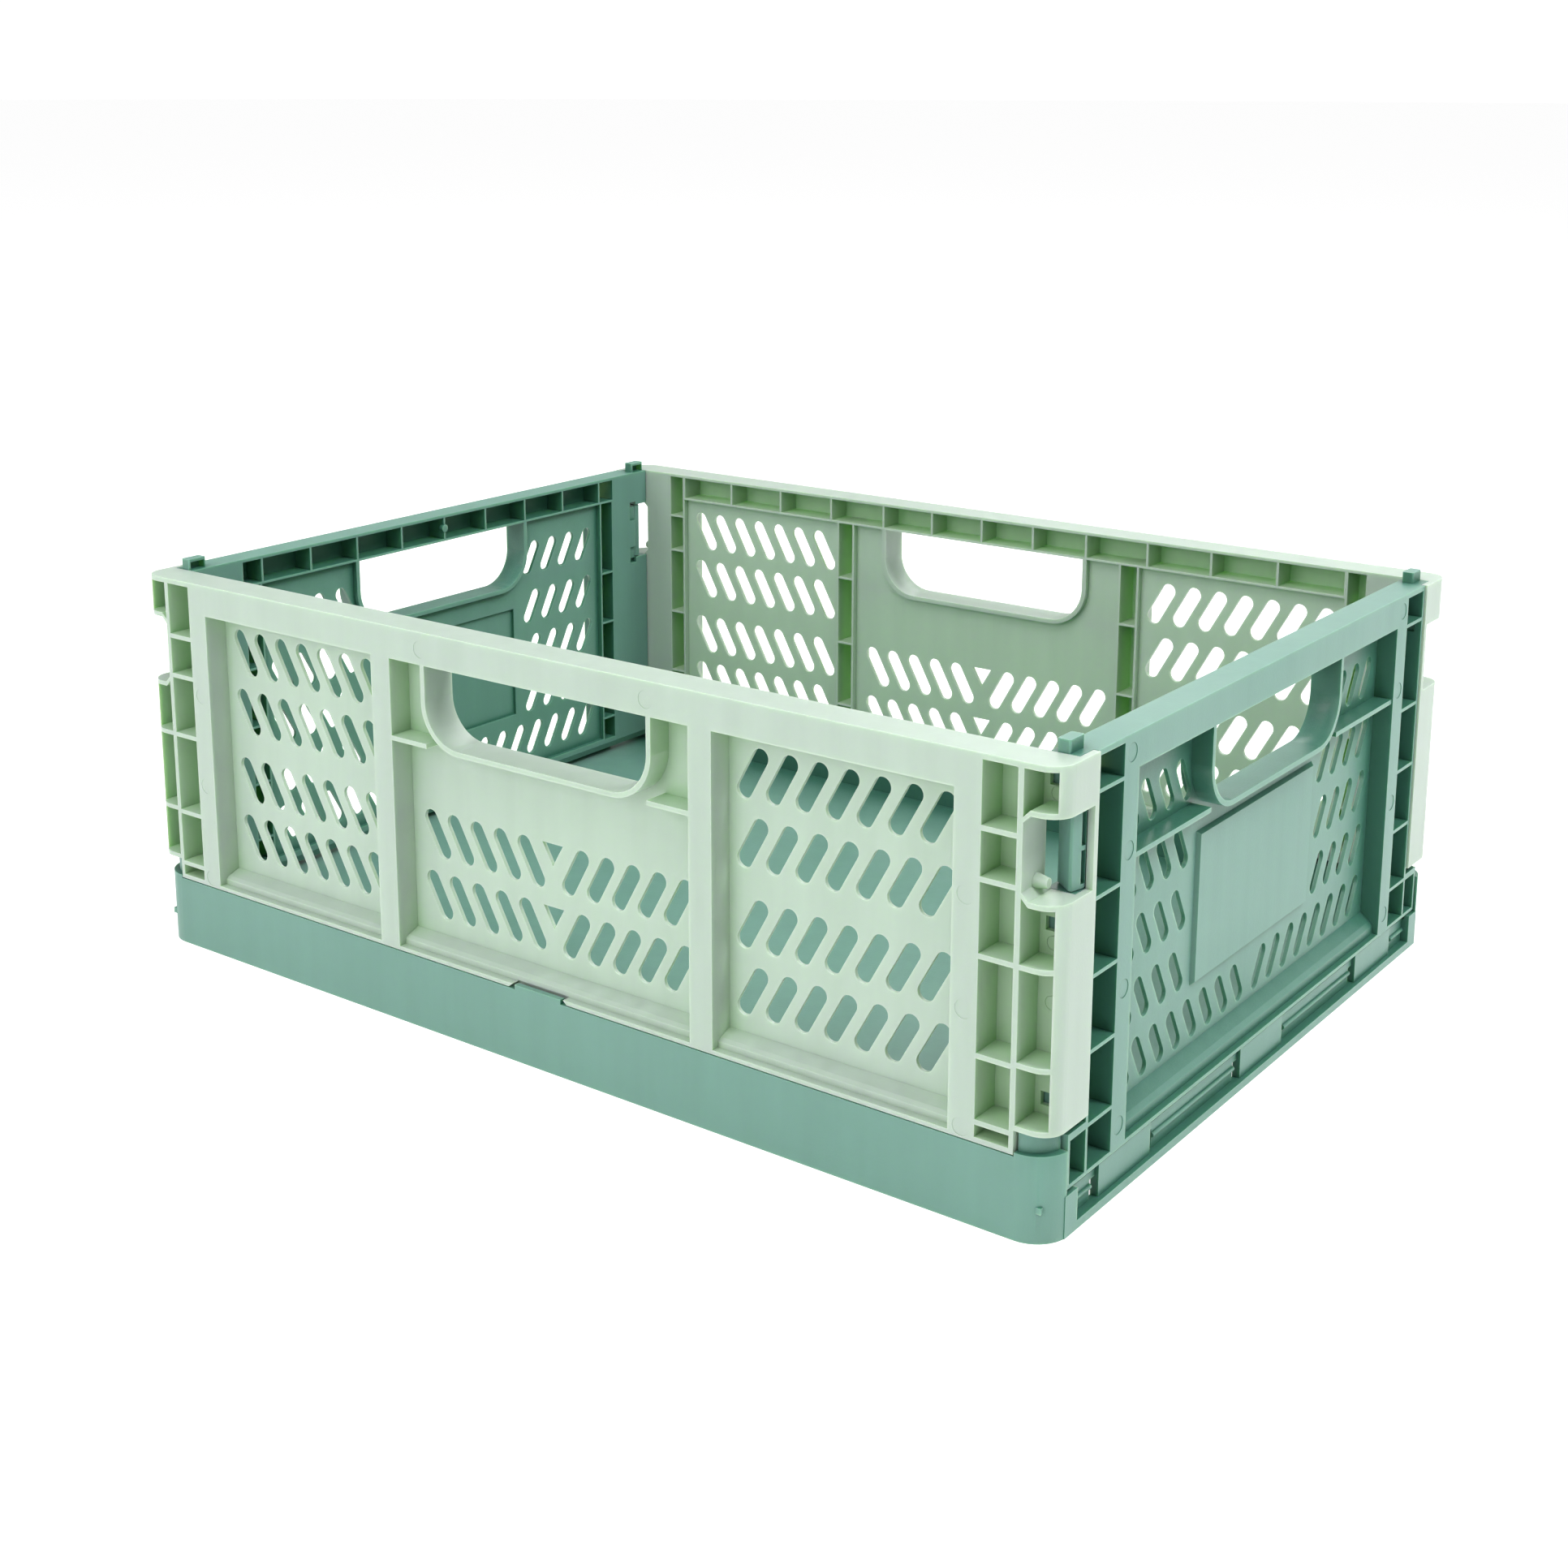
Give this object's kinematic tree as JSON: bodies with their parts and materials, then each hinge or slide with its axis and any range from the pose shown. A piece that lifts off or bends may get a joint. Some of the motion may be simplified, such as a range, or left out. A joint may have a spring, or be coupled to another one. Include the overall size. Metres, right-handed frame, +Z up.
{
  "type": "collapsible storage crate",
  "caption": "Open collapsible storage crate: tray base, slotted folding side panels with hand holes, latch tabs at the corners and stacking pegs on the rim.",
  "frame": {"origin": "middle of the footprint, on the floor", "axes": "+X along the long side, +Y from the front panel to the back panel, +Z up"},
  "size_m": [0.476, 0.354, 0.1798],
  "materials": {
    "mint_plastic": "satin polypropylene, pale mint green",
    "sage_plastic": "satin polypropylene, grey sage green"
  },
  "bodies": {
    "tray": {"base_tray": "sage_plastic"},
    "front": {"front_panel": "mint_plastic"},
    "back": {"back_panel": "mint_plastic"},
    "left_end": {"left_end_panel": "sage_plastic"},
    "right_end": {"right_end_panel": "sage_plastic"},
    "latch_left_front": {"latch_tab_left_front": "sage_plastic"},
    "latch_left_back": {"latch_tab_left_back": "sage_plastic"},
    "latch_right_front": {"latch_tab_right_front": "sage_plastic"},
    "latch_right_back": {"latch_tab_right_back": "sage_plastic"}
  },
  "joints": [
    {"name": "left_end_fold", "type": "hinge", "parent": "tray", "child": "left_end", "pos_m": [-0.2305, 0, 0.0215], "axis": [0, 1, 0], "range_deg": [0, 90]},
    {"name": "right_end_fold", "type": "hinge", "parent": "tray", "child": "right_end", "pos_m": [0.2305, 0, 0.0215], "axis": [0, -1, 0], "range_deg": [0, 90]},
    {"name": "front_panel_fold", "type": "hinge", "parent": "tray", "child": "front", "pos_m": [0, -0.169, 0.037], "axis": [-1, 0, 0], "range_deg": [-1, 0]},
    {"name": "back_panel_fold", "type": "hinge", "parent": "tray", "child": "back", "pos_m": [0, 0.169, 0.037], "axis": [1, 0, 0], "range_deg": [-1, 0]},
    {"name": "press_latch_left_front", "type": "hinge", "parent": "left_end", "child": "latch_left_front", "pos_m": [-0.2296, -0.1544, 0.14125], "axis": [0, 0, 1], "range_deg": [0, 8], "stiffness_Nm_per_rad": 0.06},
    {"name": "press_latch_left_back", "type": "hinge", "parent": "left_end", "child": "latch_left_back", "pos_m": [-0.2296, 0.1544, 0.14125], "axis": [0, 0, -1], "range_deg": [0, 8], "stiffness_Nm_per_rad": 0.06},
    {"name": "press_latch_right_front", "type": "hinge", "parent": "right_end", "child": "latch_right_front", "pos_m": [0.2296, -0.1544, 0.14125], "axis": [0, 0, -1], "range_deg": [0, 8], "stiffness_Nm_per_rad": 0.06},
    {"name": "press_latch_right_back", "type": "hinge", "parent": "right_end", "child": "latch_right_back", "pos_m": [0.2296, 0.1544, 0.14125], "axis": [0, 0, 1], "range_deg": [0, 8], "stiffness_Nm_per_rad": 0.06}
  ]
}
